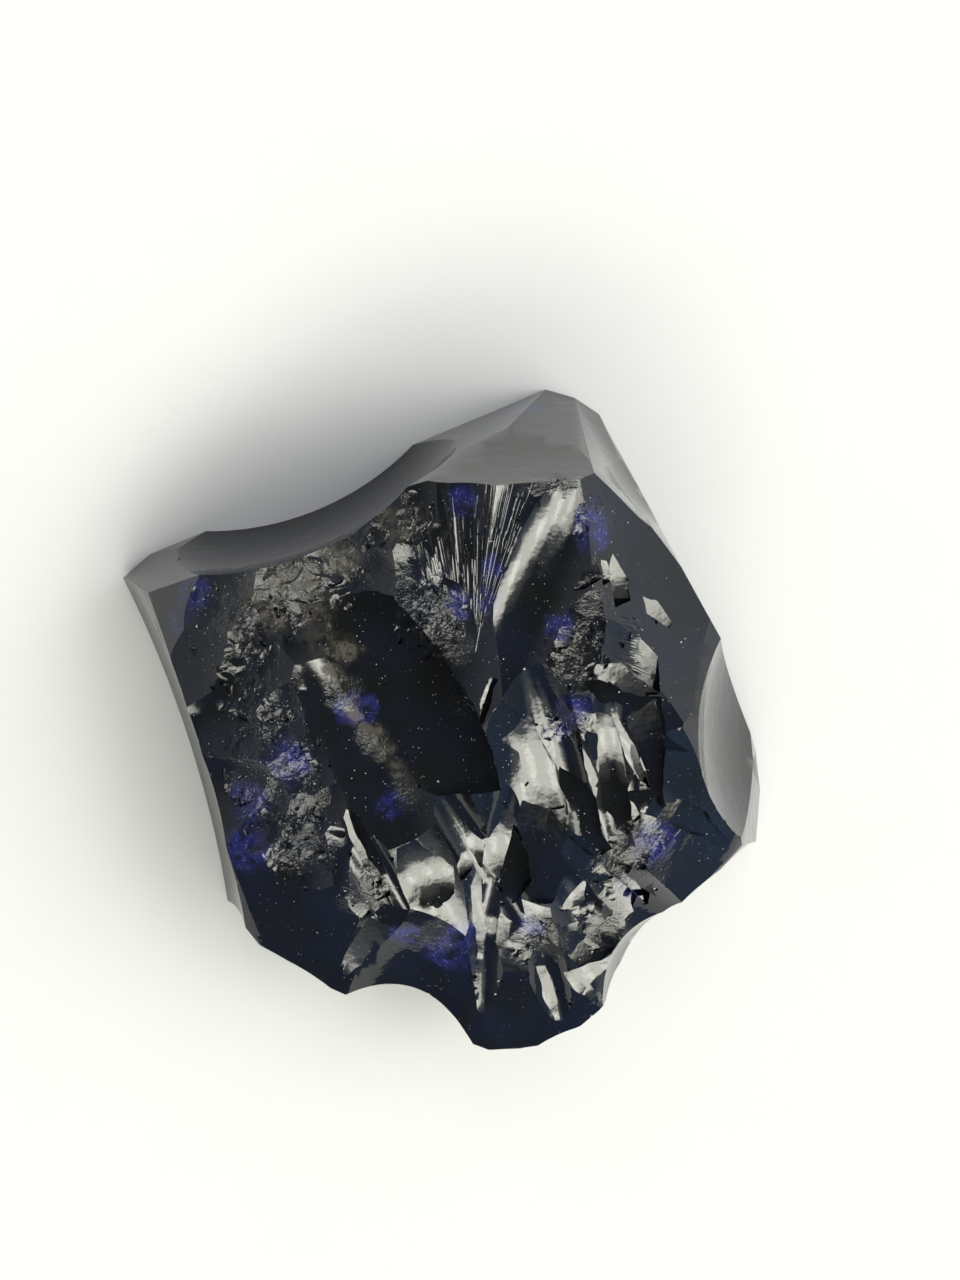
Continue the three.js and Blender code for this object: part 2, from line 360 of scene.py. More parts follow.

# %% [markdown]
# ## Facets traced from above
# The facets that catch the eye have shapes of their own: a forked flute, a fan, a comb of teeth. Their
# outlines were traced on a picture taken from straight above, so they are kept as points of that
# picture, and each is cast down onto the lump along the line of sight. The slope of a facet was chosen by its
# brightness, because the light stands in one quarter only. How deep it lies is found here, from the lump
# itself: it sinks until nearly all of its outline lies under the old surface.

# %% Outlines in the picture
# Each facet: ((heading, slope, along, across), outline in picture points).
TRACED = [
    # the striped floor of the fan
    ((-18, 28, 20, 40),
     [(618, 606), (628, 598), (642, 603), (655, 622), (657, 650), (658, 692), (645, 682), (630, 668),
      (622, 661), (601, 664), (598, 650), (606, 630)]),
    # the lip under the fan
    ((-55, 16, 40, 30),
     [(582, 667), (601, 666), (622, 664), (642, 681), (657, 694), (640, 697), (620, 689), (600, 679)]),
    # pages over the fan
    ((-67, 19.5, 30, 30),
     [(613, 556), (621, 560), (626, 575), (629, 599), (617, 605), (613, 590), (611, 572)]),
    ((-72, 21, 30, 30), [(602, 562), (608, 563), (610, 580), (604, 582)]),
    # the fan's left slope
    ((-95, 17, 40, 40), [(602, 552), (601, 576), (586, 587), (574, 590), (588, 568)]),
    # a flake out of the flank behind the fan
    ((-25, 17, 40, 40), [(644, 598), (656, 602), (673, 620), (668, 627), (650, 613)]),
    # the dark step under the fan
    ((-90, 5, 60, 60),
     [(585, 682), (600, 680), (620, 690), (640, 698), (658, 697), (664, 735), (640, 722), (612, 708),
      (600, 700)]),
    # the wide bright flute under the channel
    ((-76, 19, 50, 14),
     [(532, 714), (541, 745), (553, 768), (562, 806), (550, 808), (543, 826), (534, 812), (529, 785),
      (520, 755), (503, 742)]),
    # the broadest tooth of the comb and its chipped top
    ((-80, 10, 26, 8),
     [(597, 714), (612, 716), (621, 745), (627, 790), (633, 824), (618, 846), (600, 834), (598, 800),
      (600, 770)]),
    ((-63, 18.5, 30, 30), [(580, 718), (597, 715), (600, 732), (588, 730)]),
    # the sliver on the comb's left
    ((-62, 18.5, 40, 40), [(583, 750), (590, 760), (598, 783), (604, 806), (597, 801), (590, 780)]),
    # the dark strip left of the comb
    ((-90, 6, 80, 80),
     [(560, 768), (583, 783), (596, 800), (600, 835), (612, 848), (590, 855), (566, 850), (562, 810)]),
    # the narrow groove of the comb
    ((-52, 19, 40, 6),
     [(614, 711), (623, 728), (633, 745), (645, 775), (650, 787), (640, 781), (627, 755), (617, 730)]),
    # the dark right end of the comb and a sliver in it
    ((-80, 8, 60, 60),
     [(626, 720), (655, 702), (664, 745), (662, 790), (668, 820), (640, 826), (634, 818), (628, 790),
      (650, 788), (646, 772), (634, 742)]),
    ((-68, 18, 30, 30), [(627, 800), (633, 806), (639, 815), (634, 822), (630, 815)]),
    # the front right plane where it runs up to the comb
    ((-45, 36, 100, 100),
     [(655, 742), (668, 738), (690, 755), (748, 848), (735, 850), (700, 805),
      (678, 800), (665, 808), (660, 780)]),
    # the round chip on the right and the dull chip below it
    ((-55, 9, 30, 30),
     [(664, 812), (678, 801), (692, 812), (693, 840), (680, 858), (663, 863), (652, 850), (650, 835)]),
    ((-75, 11, 30, 30), [(620, 858), (632, 848), (648, 855), (645, 868), (628, 872)]),
    # the small bright window and the dark band beside it
    ((-57, 16, 12, 12), [(562, 909), (573, 893), (584, 880), (588, 884), (583, 909)]),
    ((-90, 5, 60, 60), [(590, 868), (612, 858), (630, 868), (600, 925), (575, 935), (585, 905)]),
    # slivers of the lower right edge
    ((-33, 15.5, 40, 40), [(634, 905), (642, 892), (652, 884), (645, 905), (640, 935), (634, 930)]),
    ((-36, 15, 40, 40), [(652, 884), (656, 900), (661, 924), (652, 925), (649, 905)]),
    # grey steps, and the bright facet below them
    ((-55, 9.5, 14, 14),
     [(570, 955), (590, 935), (615, 912), (634, 903), (631, 930), (600, 958), (580, 965)]),
    ((-54, 15, 20, 16),
     [(563, 972), (580, 968), (600, 961), (628, 936), (618, 958), (600, 980), (586, 994), (575, 988)]),
    # the sliver on the front tip
    ((-50, 17, 40, 40), [(538, 968), (546, 968), (554, 990), (561, 1021), (552, 1015), (545, 995)]),
    # the forked flute: right arm, left arm, tail, and a drop-shaped chip beside it
    ((-80, 19, 26, 11),
     [(506, 803), (514, 822), (522, 845), (512, 828), (508, 848), (500, 875), (490, 888), (484, 882),
      (482, 842), (492, 838), (500, 822)]),
    ((-72, 17.5, 16, 12), [(463, 824), (475, 836), (482, 843), (482, 868), (478, 862), (470, 845)]),
    ((-78, 16, 60, 8),
     [(476, 872), (481, 880), (482, 905), (485, 930), (482, 960), (479, 978), (476, 976), (478, 950),
      (476, 925), (472, 900), (470, 888)]),
    ((-60, 17, 10, 8), [(461, 855), (468, 851), (473, 857), (470, 868), (462, 880), (459, 866)]),
    # the dark wedge right of the fork
    ((-90, 7, 60, 60),
     [(512, 830), (524, 848), (530, 880), (512, 905), (492, 900), (500, 880), (508, 850)]),
    # the bright flute left of the fork
    ((-55, 18, 18, 14),
     [(398, 850), (415, 842), (438, 858), (452, 868), (453, 892), (440, 904), (425, 910), (408, 906),
      (398, 885)]),
    # the twin grooves, bright and dark
    ((-50, 19, 60, 20),
     [(340, 808), (348, 812), (354, 830), (366, 855), (383, 880), (378, 884), (362, 862), (350, 835),
      (342, 820)]),
    ((-100, 6, 60, 60),
     [(350, 812), (360, 818), (382, 865), (390, 882), (384, 879), (368, 855), (356, 830)]),
    # two chips where the grooves end
    ((-48, 18, 30, 30), [(364, 886), (380, 890), (388, 885), (389, 896), (378, 899), (368, 893)]),
    ((-48, 18, 30, 30), [(347, 898), (355, 905), (366, 904), (369, 912), (360, 917), (351, 910)]),
    # the grey facet over the front hollow
    ((-112, 25.5, 60, 40),
     [(385, 905), (370, 918), (352, 945), (341, 966), (347, 976), (365, 960), (385, 940), (400, 925),
      (408, 912)]),
    # the curved line on the tongue under the channel
    ((-30, 20, 12, 8), [(490, 678), (497, 680), (489, 701), (484, 722), (479, 720), (482, 700)]),
    # a bright chip at the back left
    ((-71, 22, 20, 20), [(269, 580), (277, 578), (283, 600), (276, 614), (271, 600)]),
]

# %% Cast the outlines down and cut the facets
EYE = (4.5, 8.25, 194.0)
PICTURE = (960, 1280)
SIGHT_POINTS = 1600
SUNK = 0.1
DEEP = 1.0
LEFT_OVER = 0.12
LEFT_OVER_DEEP = 0.35
RINGS = (0.25, 0.5, 0.75, 1)
# Every outline is drawn out by this much, so that no thin wall is left between two neighbours.
GROWN = 0.22


def between(first, last, share):
    return [one + (other - one) * share for one, other in zip(first, last)]


def seen(point):
    """Where the line of sight through one point of the picture meets the lump."""
    across, down = [(place - side / 2) / SIGHT_POINTS for place, side in zip(point, PICTURE)]
    hit, place, normal, face = lump.ray_cast(EYE, Vector((across, -down, -1)).normalized())
    return place


def traced_ball(ball, tilt, outline):
    """A bounded ball under a traced outline, sunk until little of the old surface is left over."""
    heading, slope, along, across = tilt
    middle = [sum(places) / len(outline) for places in zip(*outline)]
    centre = seen(middle)
    turn = Euler((0, math.radians(slope), math.radians(heading))).to_matrix()
    gaps = []
    for corner in outline:
        for ring in RINGS:
            place = seen(between(middle, corner, ring))
            down_slope, sideways, above = turn.transposed() @ (place - centre)
            gaps.append(above - down_slope ** 2 / (2 * along) - sideways ** 2 / (2 * across))
    gaps.sort()
    sink = gaps[int(len(gaps) * LEFT_OVER)]
    if sum(gaps) / len(gaps) - sink > DEEP:
        sink = gaps[int(len(gaps) * LEFT_OVER_DEEP)]
    floor = centre + turn @ Vector((0, 0, sink - SUNK))
    corners = [seen(corner).xy for corner in outline]
    grown = [corner + (corner - centre.xy).normalized() * GROWN for corner in corners]
    return bounded_ball(ball, (*floor, heading, slope, 0, along, across), grown)


take_away([traced_ball(ball, tilt, outline) for tilt, outline in TRACED])
drop_outlines()
print("traced facets:", len(TRACED), "cut, lump has", len(lump.data.polygons), "faces")

# %% [markdown]
# ## Ribs and rays
# Where a crack ran fast it left hackle: narrow ribs side by side, all running the way the crack ran. They
# could be painted as bump, but they are what gives the strip beside the channel its glitter, so they are cut.
# A comb of flutes is laid between two lines on the surface; a ray cast straight down finds how high each end
# lies, so the ribs follow the floor they are cut into.

# %% Combs of narrow flutes
RIB_SIDES = 20
RIB_RINGS = 16
RIB_WIDTHS = (0.6, 1.4)
RIB_DEPTHS = (0.4, 1.6)

# Each comb: (first start, last start, first end, last end, how many, width radius, depth, smallest and
# largest share of the way that a rib runs), in plan.
COMBS = [
    # the ribbed strip on the left of the channel: short feathers over long ribs
    ((4.4, 23.4), (9.9, 23.6), (4.2, 9.6), (5.0, 10.4), 12, 0.28, 0.045, 0.3, 0.6),
    ((3.6, 23.4), (10.2, 23.6), (4.0, 8.6), (4.8, 9.4), 130, 0.2, 0.045, 0.08, 0.25),
    # dark flutes behind the crushed patch
    ((-2.7, 23.3), (3.6, 23.6), (0.8, 12.0), (3.8, 10.8), 7, 0.6, 0.06, 0.3, 0.6),
    ((-4.0, 22.6), (3.6, 23.6), (-0.5, 12.0), (3.8, 10.0), 50, 0.22, 0.035, 0.08, 0.25),
    # ripples across the fan-shaped scar
    ((19.3, 10.6), (19.4, 5.4), (21.2, 10.2), (21.5, 4.4), 26, 0.25, 0.025, 0.3, 0.7),
]


def height_at(x, y):
    """Height of the lump's upper surface over one place in plan, or None beside the lump."""
    hit, place, normal, face = lump.ray_cast((x, y, TOP), (0, 0, -1))
    return place.z if hit else None


def pressed_spindle(spindle, start, end, radius, depth):
    """A thin copy of the ball that leaves a groove from start to end in plan, deepest half way."""
    ends = [Vector((x, y, height_at(x, y))) for x, y in (start, end)]
    run = ends[1] - ends[0]
    centre = (ends[0] + ends[1]) / 2
    centre.z = min(centre.z, height_at(centre.x, centre.y)) + radius - depth
    copy = spindle.copy()
    copy.scale = (run.length / 2 / math.sqrt(1 - (1 - depth / radius) ** 2), radius, radius)
    copy.rotation_euler = run.to_track_quat("X", "Z").to_euler()
    copy.location = centre
    return copy


shake = random.Random(11)
spindle = unit_ball(RIB_SIDES, RIB_RINGS)
ribs = []
for first_start, last_start, first_end, last_end, count, radius, depth, shortest, longest in COMBS:
    for number in range(count):
        shares = [min(max((number + shake.uniform(-0.5, 0.5)) / (count - 1), 0), 1) for side in range(2)]
        start = between(first_start, last_start, shares[0])
        end = between(first_end, last_end, shares[1])
        run = shake.uniform(shortest, longest)
        begin = shake.uniform(0, 1 - run)
        start, end = between(start, end, begin), between(start, end, begin + run)
        sizes = radius * shake.uniform(*RIB_WIDTHS), depth * shake.uniform(*RIB_DEPTHS)
        ribs.append(pressed_spindle(spindle, start, end, *sizes))
take_away(ribs)
print("ribs:", len(lump.data.polygons), "faces")

# %% [markdown]
# ## Small flakes
# Round the places where the lump was struck, hundreds of small flakes have come away, each a few millimetres
# long and a fraction of a millimetre deep. They lie at random but not everywhere, so they are strewn over
# named places from a seeded die: the same flakes fall at every run. Each flake has a die of its own, so that
# one more or less does not move the rest. Each is a flat, slightly tilted dish.

# %% Strew the flakes
# Each place: (x, y, radius, how many, smallest and largest half length).
FLAKED = [
    # the left side and the left edge
    (-19, 2, 5, 70, 0.4, 1.4), (-18, -6, 6, 110, 0.4, 1.5), (-16, -13, 5, 80, 0.4, 1.4),
    (-23, 7, 5, 50, 0.4, 1.6),
    # the back left
    (-15, 14, 6, 90, 0.4, 1.6), (-9, 18, 4.5, 60, 0.4, 1.5), (-23, 12.5, 4.5, 40, 0.5, 1.6),
    (-4, 20, 4, 35, 0.4, 1.2),
    # the crushed patch, and the rubble left of the fan
    (-0.6, 11.2, 4.0, 60, 0.4, 1.3), (14, 6.5, 3.4, 45, 0.4, 1.3), (13.7, 0.2, 2.2, 16, 0.4, 1.2),
    # the front and the lower right
    (-1, -24.5, 3, 16, 0.4, 1.1), (11, -25, 3, 16, 0.4, 1.2), (20.5, -16, 4, 26, 0.4, 1.3),
    (17.5, -23.5, 4, 18, 0.5, 1.4), (-8, -19.5, 3, 16, 0.4, 1.1),
    # beside the channel's top end
    (17, 19.5, 3, 20, 0.4, 1.4),
]
FLAKE_SIDES = 12
FLAKE_RINGS = 8
FLAKE_NARROW = (0.4, 0.8)
FLAKE_DEPTH = (0.03, 0.08)
FLAKE_TILT = math.radians(9)
FLAKE_ROUND = 4
FLAKE_UPRIGHT = 0.86


def pressed_flake(ball, place, normal, half_length, dice):
    """A flat copy of the ball that leaves a dish of about this half length, a little tilted."""
    depth = half_length * dice.uniform(*FLAKE_DEPTH)
    height = FLAKE_ROUND * depth
    spread = 1 / math.sqrt(1 - (1 - depth / height) ** 2)
    copy = ball.copy()
    copy.scale = (half_length * spread, half_length * spread * dice.uniform(*FLAKE_NARROW), height)
    lean = Euler((dice.gauss(0, FLAKE_TILT), dice.gauss(0, FLAKE_TILT), dice.uniform(0, 2 * math.pi)))
    upright = normal.to_track_quat("Z", "Y")
    copy.rotation_euler = (upright.to_matrix() @ lean.to_matrix()).to_euler()
    copy.location = place + normal * (height - depth)
    return copy


strew = random.Random(5)
flake_ball = unit_ball(FLAKE_SIDES, FLAKE_RINGS)
flakes = []
for x, y, radius, count, smallest, largest in FLAKED:
    for number in range(count):
        die = random.Random(strew.random())
        reach = radius * math.sqrt(die.random())
        turn = die.uniform(0, 2 * math.pi)
        start = (x + reach * math.cos(turn), y + reach * math.sin(turn), TOP)
        hit, place, normal, face = lump.ray_cast(start, (0, 0, -1))
        if hit and normal.z > FLAKE_UPRIGHT:
            half_length = smallest * (largest / smallest) ** die.random()
            flakes.append(pressed_flake(flake_ball, place, normal, half_length, die))
take_away(flakes)
print("flakes:", len(flakes), "cut, lump has", len(lump.data.polygons), "faces")

# %% [markdown]
# ## Nicked arrises
# Along every arris of the real lump tiny chips are missing, and each leaves two or three small mirrors with a
# tilt of their own. A flattened twenty-sided solid pressed into the edge at a random tilt does the same. It
# has few faces, because it is repeated hundreds of times.

# %% A chip for the arrises
GRAIN_STRETCH = ((0.9, 2.0), (0.6, 1.1), (0.4, 0.8))
GRAIN_TILT = math.radians(38)


def unit_grain():
    """A twenty-sided solid of radius 1."""
    bpy.ops.object.select_all(action="DESELECT")
    bpy.ops.mesh.primitive_ico_sphere_add(subdivisions=1, radius=1)
    return bpy.context.object


def pressed_grain(grain, place, normal, size, sunk, dice):
    """A copy of the grain at a random tilt, with a share of its size below the surface."""
    copy = grain.copy()
    copy.scale = [size * dice.uniform(*span) for span in GRAIN_STRETCH]
    lean = Euler((dice.gauss(0, GRAIN_TILT), dice.gauss(0, GRAIN_TILT), dice.uniform(0, 2 * math.pi)))
    upright = normal.to_track_quat("Z", "Y")
    copy.rotation_euler = (upright.to_matrix() @ lean.to_matrix()).to_euler()
    copy.location = place + normal * copy.scale.z * (1 - sunk)
    return copy


dice = random.Random(23)
grain = unit_grain()
grains = []

# %% Nick the arrises
NICK_TRIES = 1000
NICK_FIELD = 40
NICK_REACH = 1.2
NICK_SIZES = (0.15, 0.6)
NICK_SUNK = (0.25, 0.5)
ARRIS_ANGLE = math.radians(32)
ARRIS_STEP = 0.4
LOWEST_NICK = 6


def arris_points(piece):
    """Places along the sharp outward edges of a piece, each with its outward direction."""
    found = []
    reader = bmesh.new()
    reader.from_mesh(piece.data)
    for edge in reader.edges:
        if edge.calc_face_angle_signed(0) > ARRIS_ANGLE and edge.verts[0].co.z > LOWEST_NICK:
            outward = (edge.link_faces[0].normal + edge.link_faces[1].normal).normalized()
            one, other = [end.co for end in edge.verts]
            steps = max(1, round(edge.calc_length() / ARRIS_STEP))
            found += [(one.lerp(other, (step + 0.5) / steps), outward) for step in range(steps)]
    reader.free()
    return found


# A nick falls on the arris nearest to a random place, because a Boolean may list its edges in any order.
arrises = arris_points(lump)
finder = kdtree.KDTree(len(arrises))
for number, (place, outward) in enumerate(arrises):
    finder.insert(place, number)
finder.balance()
for number in range(NICK_TRIES):
    die = random.Random(dice.random())
    start = (die.uniform(-NICK_FIELD, NICK_FIELD), die.uniform(-NICK_FIELD, NICK_FIELD), TOP)
    hit, place, normal, face = lump.ray_cast(start, (0, 0, -1))
    if hit:
        near, index, away = finder.find(place)
        if away < NICK_REACH:
            sizes = die.uniform(*NICK_SIZES), die.uniform(*NICK_SUNK)
            grains.append(pressed_grain(grain, near, arrises[index][1], *sizes, die))
take_away(grains)
print("nicks:", len(grains), "cut, lump has", len(lump.data.polygons), "faces")

# %% [markdown]
# ## Crushed places
# Where the lump was struck the glass is crushed to grains, and these places sparkle, because each grain is a
# small flat mirror. Pressing in every grain would take thousands of cuts. Instead the skin of the crushed
# places is split into small triangles, and their corners are pushed in by uneven amounts: every triangle then
# gets its own tilt. Broad noise lays grains together in lumps, so the places look broken and not sanded.

# %% Where the glass is crushed
# Each place: (x, y, radius, how deep).
CRUSHED = [
    # the patch between the dark flutes and the valley
    (-1.2, 10.3, 5.0, 0.45), (2.4, 7.4, 2.4, 0.4), (-4.5, 13.5, 3.0, 0.3),
    # the pit of the fan and the ledge under it
    (14.3, 7.7, 3.2, 0.5), (13.7, 4.6, 2.6, 0.4), (13.7, -0.3, 2.0, 0.4), (16.2, 12.5, 2.4, 0.25),
    # the left side
    (-17.6, -2.5, 4.6, 0.5), (-16.0, -9.0, 5.2, 0.5), (-15.1, -14.1, 4.0, 0.4), (-20.5, -8.5, 3.4, 0.4),
    # over the front hollow, and where the twin grooves end
    (-0.5, -24.4, 2.8, 0.25), (-8.0, -19.4, 2.4, 0.3),
    # the back edge beside the channel, and the channel's crumbled top end
    (16.6, 20.3, 2.4, 0.4), (10.9, 24.0, 1.3, 0.4), (13.0, 24.0, 1.3, 0.4),
    # under the tongue, and the lower right
    (2.9, 1.4, 2.1, 0.4), (21.5, -14.1, 3.4, 0.4), (12.0, -24.5, 3.0, 0.3),
    # the back left
    (-15.8, 13.6, 5.2, 0.4), (-21.9, 11.5, 4.0, 0.3), (-9.7, 17.7, 4.4, 0.35), (-3.7, 20.6, 3.2, 0.35),
    # the dusty ridge beside the valley
    (-9.9, 2.9, 2.2, 0.35), (-6.7, -2.5, 2.2, 0.35), (-3.0, -7.8, 2.2, 0.35),
]
GRAIN_EDGE = 0.36
LUMP_SIZE = 0.9
PATCH_SIZE = 2.6
JOLT_SIZE = 0.17
FADE = 0.35
PATCH_SHARE = 0.35
DEPTH_SHARE = 0.3
CLOD_SHARE = 0.7
JOLT_SHARE = 0.4
SPLITS = 8


def crushed_points():
    """The crushed places on the surface: (centre, radius, depth)."""
    found = []
    for x, y, radius, depth in CRUSHED:
        hit, place, normal, face = lump.ray_cast((x, y, TOP), (0, 0, -1))
        found.append((place, radius, depth))
    return found


def split_fine(piece, spots):
    """Split the edges that lie in the spots until none is longer than a grain."""
    only(piece)
    bpy.ops.object.mode_set(mode="EDIT")
    bpy.ops.mesh.select_mode(type="EDGE")
    for turn in range(SPLITS):
        bpy.ops.mesh.select_all(action="SELECT")
        bpy.ops.mesh.quads_convert_to_tris()
        bpy.ops.mesh.select_all(action="DESELECT")
        reader = bmesh.from_edit_mesh(piece.data)
        chosen = 0
        for edge in reader.edges:
            length = edge.calc_length()
            if length > GRAIN_EDGE:
                middle = (edge.verts[0].co + edge.verts[1].co) / 2
                if any((middle - centre).length < radius + length / 4 for centre, radius, depth in spots):
                    edge.select_set(True)
                    chosen += 1
        if not chosen:
            break
        bmesh.update_edit_mesh(piece.data)
        bpy.ops.mesh.subdivide(number_cuts=1)
    bpy.ops.mesh.select_all(action="SELECT")
    bpy.ops.mesh.quads_convert_to_tris()
    bpy.ops.mesh.select_mode(type="VERT")
    bpy.ops.object.mode_set(mode="OBJECT")


spots = crushed_points()
split_fine(lump, spots)
print("split:", len(lump.data.polygons), "faces")

# %% Push the corners of the grains in
normals = [point.normal.copy() for point in lump.data.vertices]
moved = 0
for point, normal in zip(lump.data.vertices, normals):
    push = 0
    for centre, radius, depth in spots:
        away = (point.co - centre).length / radius
        if away < 1:
            push = max(push, depth * min((1 - away) / FADE, 1))
    if push and point.co.z > LOWEST_NICK:
        ragged_edge = noise_at.noise(point.co / PATCH_SIZE)
        clod = noise_at.noise(point.co / LUMP_SIZE)
        share = max(0, PATCH_SHARE + ragged_edge)
        jolt = noise_at.noise(point.co / JOLT_SIZE)
        uneven = max(0, DEPTH_SHARE + CLOD_SHARE * clod + JOLT_SHARE * jolt)
        point.co -= normal * push * share * uneven
        moved += 1
print("corners pushed in:", moved)

# %% Keep the one solid and bring it to metres
def drop_loose_crumbs(piece):
    """Delete every closed bit that a cut left floating, keeping the one that stands on the table."""
    only(piece)
    bpy.ops.object.mode_set(mode="EDIT")
    bpy.ops.mesh.select_all(action="DESELECT")
    reader = bmesh.from_edit_mesh(piece.data)
    min(reader.verts, key=lambda point: point.co.z).select_set(True)
    reader.select_flush(True)
    bpy.ops.mesh.select_linked()
    bpy.ops.mesh.select_all(action="INVERT")
    bpy.ops.mesh.delete(type="VERT")
    bpy.ops.object.mode_set(mode="OBJECT")


SMOOTH_ANGLE = math.radians(20)
drop_loose_crumbs(lump)
lump.data.transform(Matrix.Scale(MM, 4))
only(lump)
bpy.ops.object.shade_smooth_by_angle(angle=SMOOTH_ANGLE)
for tool in (ball, spindle, flake_ball, grain):
    bpy.data.meshes.remove(tool.data)
triangles = sum(len(face.vertices) - 2 for face in lump.data.polygons)
print("finished lump:", triangles, "triangles")

# %% [markdown]
# ## The glass
# The glass is so dark that its own colour hardly shows: what is seen is gloss. It is modelled as a nearly
# black, very smooth surface instead of see-through glass, because light that enters the real lump does not
# come out again, and because a see-through shader would be slow and noisy for no gain. Three things break the
# black. Where the glass is thin or crushed, the light that shines through it is painted on as blue, and pale
# blue specks are painted glints: the blue is the glass's own, its brightness is painted light. Brown dirt
# lies in the hollows at the back left, and there is white dust. Each has named places, and a noise pattern
# makes their borders ragged.

# %% Helpers for nodes
def material(name):
    made = bpy.data.materials.new(name)
    made.use_nodes = True
    return made, made.node_tree.nodes["Principled BSDF"]


def node(tree, kind, values=None, **settings):
    """Add one node, set its settings, and set or link its inputs by name or number."""
    made = tree.nodes.new("ShaderNode" + kind)
    for name, setting in settings.items():
        setattr(made, name, setting)
    for name, value in (values or {}).items():
        if isinstance(value, bpy.types.NodeSocket):
            tree.links.new(value, made.inputs[name])
        else:
            made.inputs[name].default_value = value
    return made


def sum_of(tree, operation, one, other):
    return node(tree, "Math", {0: one, 1: other}, operation=operation).outputs[0]


def ramp(tree, value, low, high, bottom=0.0, top=1.0):
    """Map low..high to bottom..top with soft ends."""
    values = {"Value": value, "From Min": low, "From Max": high, "To Min": bottom, "To Max": top}
    return node(tree, "MapRange", values, interpolation_type="SMOOTHSTEP").outputs["Result"]


def noise(tree, where, size_mm, detail=3.0, roughness=0.55):
    """Noise with features about size_mm across."""
    values = {"Vector": where, "Scale": 1 / (size_mm * MM), "Detail": detail, "Roughness": roughness}
    return node(tree, "TexNoise", values).outputs


def mix(tree, share, one, other):
    """Blend two colours."""
    made = node(tree, "Mix", data_type="RGBA")
    for socket, value in ((made.inputs[0], share), (made.inputs[6], one), (made.inputs[7], other)):
        if isinstance(value, bpy.types.NodeSocket):
            tree.links.new(value, socket)
        else:
            socket.default_value = value
    return made.outputs[2]


# %% Places with painted blue light, dirt and crushed glass
# Each place: (x, y, radius) in millimetres; the height is found by a ray cast.
# Blue places: the light that shines through thin or crushed glass, painted on in the glass's own blue.
BLUE_SHINE_PLACES = [
    (3.0, 22.4, 1.7), (16.2, 19.3, 2.2), (15.4, 20.9, 1.4), (5.0, 12.4, 1.6), (5.6, 15.6, 1.4),
    (-9.4, 0.8, 1.8), (-16.0, -4.7, 2.4), (-20.6, -9.2, 2.4), (-5.2, -9.5, 1.5), (2.3, -24.2, 2.0),
    (-3.8, -24.3, 1.7), (20.9, -19.2, 1.6), (23.1, -13.1, 2.6), (14.3, 0.8, 2.0), (12.9, -0.9, 1.7),
    (10.0, -23.1, 1.5), (-27.3, 13.7, 2.6), (-29.2, 9.9, 1.6), (9.1, 35.0, 3.0), (-21.1, -14.6, 2.6),
    (2.2, 12.0, 1.6), (12.6, 9.6, 1.5), (-7.8, 1.0, 1.5), (0.6, -26.5, 2.6),
]
DIRT = [
    (-17.0, 15.4, 2.6), (-14.2, 14.6, 2.4), (-13.0, 12.2, 2.2), (-13.2, 9.6, 1.9), (-12.0, 7.6, 1.7),
    (-9.6, 7.4, 1.5), (-17.5, 10.6, 2.0), (-8.9, 0.9, 1.3), (-7.3, -1.6, 1.3), (-5.8, -3.6, 1.2),
    (-4.4, -5.6, 1.2), (-10.5, 17.0, 2.4), (-11.2, 4.6, 1.4), (-4.5, 20.0, 1.8), (-20.0, 12.6, 1.8),
]
# A place fades between these shares of its radius, and its border strays by noise.
MASK_OUT = 1.35
MASK_IN = 0.45
STRAY_SIZE = 1.6
STRAY_BY = 2.6 * MM
MIDDLE_GREY = (0.5, 0.5, 0.5)


def surface_point(x, y):
    """A place on the finished lump, in metres, from its place in plan in millimetres."""
    hit, place, normal, face = lump.ray_cast((x * MM, y * MM, TOP * MM), (0, 0, -1))
    return place


def mask_of(tree, where, places):
    """One near any of the places and nought away from them."""
    total = None
    for x, y, radius in places:
        centre = surface_point(x, y)
        values = {0: where, 1: centre}
        away = node(tree, "VectorMath", values, operation="DISTANCE").outputs["Value"]
        near = ramp(tree, away, radius * MM * MASK_OUT, radius * MM * MASK_IN)
        total = near if total is None else sum_of(tree, "MAXIMUM", total, near)
    return total


glass, shader = material("broken_blue_glass")
tree = glass.node_tree
place = node(tree, "TexCoord").outputs["Object"]
stray = noise(tree, place, STRAY_SIZE, detail=4)["Color"]
stray = node(tree, "VectorMath", {0: stray, 1: MIDDLE_GREY}, operation="SUBTRACT").outputs[0]
stray = node(tree, "VectorMath", {0: stray, "Scale": STRAY_BY}, operation="SCALE").outputs[0]
strayed = node(tree, "VectorMath", {0: place, 1: stray}, operation="ADD").outputs[0]
shine_through_mask = mask_of(tree, strayed, BLUE_SHINE_PLACES)
dirt_mask = mask_of(tree, strayed, DIRT)
crushed_mask = mask_of(tree, strayed, [spot[:3] for spot in CRUSHED])
flaked_mask = mask_of(tree, strayed, [spot[:3] for spot in FLAKED])

# %% Colours of the glass
BLACK_GLASS = (0.003, 0.0035, 0.004, 1)
NAVY_GLASS = (0.0035, 0.0048, 0.0095, 1)
# Painted light: the glass's own blue as lit through where it is thin, and pale specks as painted glints.
COBALT_SHINE_THROUGH = (0.009, 0.010, 0.060, 1)
PAINTED_BLUE_GLINT = (0.06, 0.068, 0.17, 1)
CRUSHED_GREY = (0.011, 0.012, 0.016, 1)
DIRT_BROWN = (0.036, 0.030, 0.022, 1)
DUST_WHITE = (0.30, 0.30, 0.28, 1)

# Feature sizes in millimetres, and the spans of noise over which a colour comes in.
CLOUD_SIZE = 9
FINE_SIZE = 0.28
BROAD_SIZE = 1.5
CLOUDY = (0.35, 0.65)
POWDERY = (0.5, 0.75)
SHINE_SPAN = (0.3, 0.6)
GLINT_SPAN = (0.56, 0.72)
DIRTY = (0.25, 0.7)
DIRT_GRAIN = (0.25, 0.6, 0.35, 1.0)

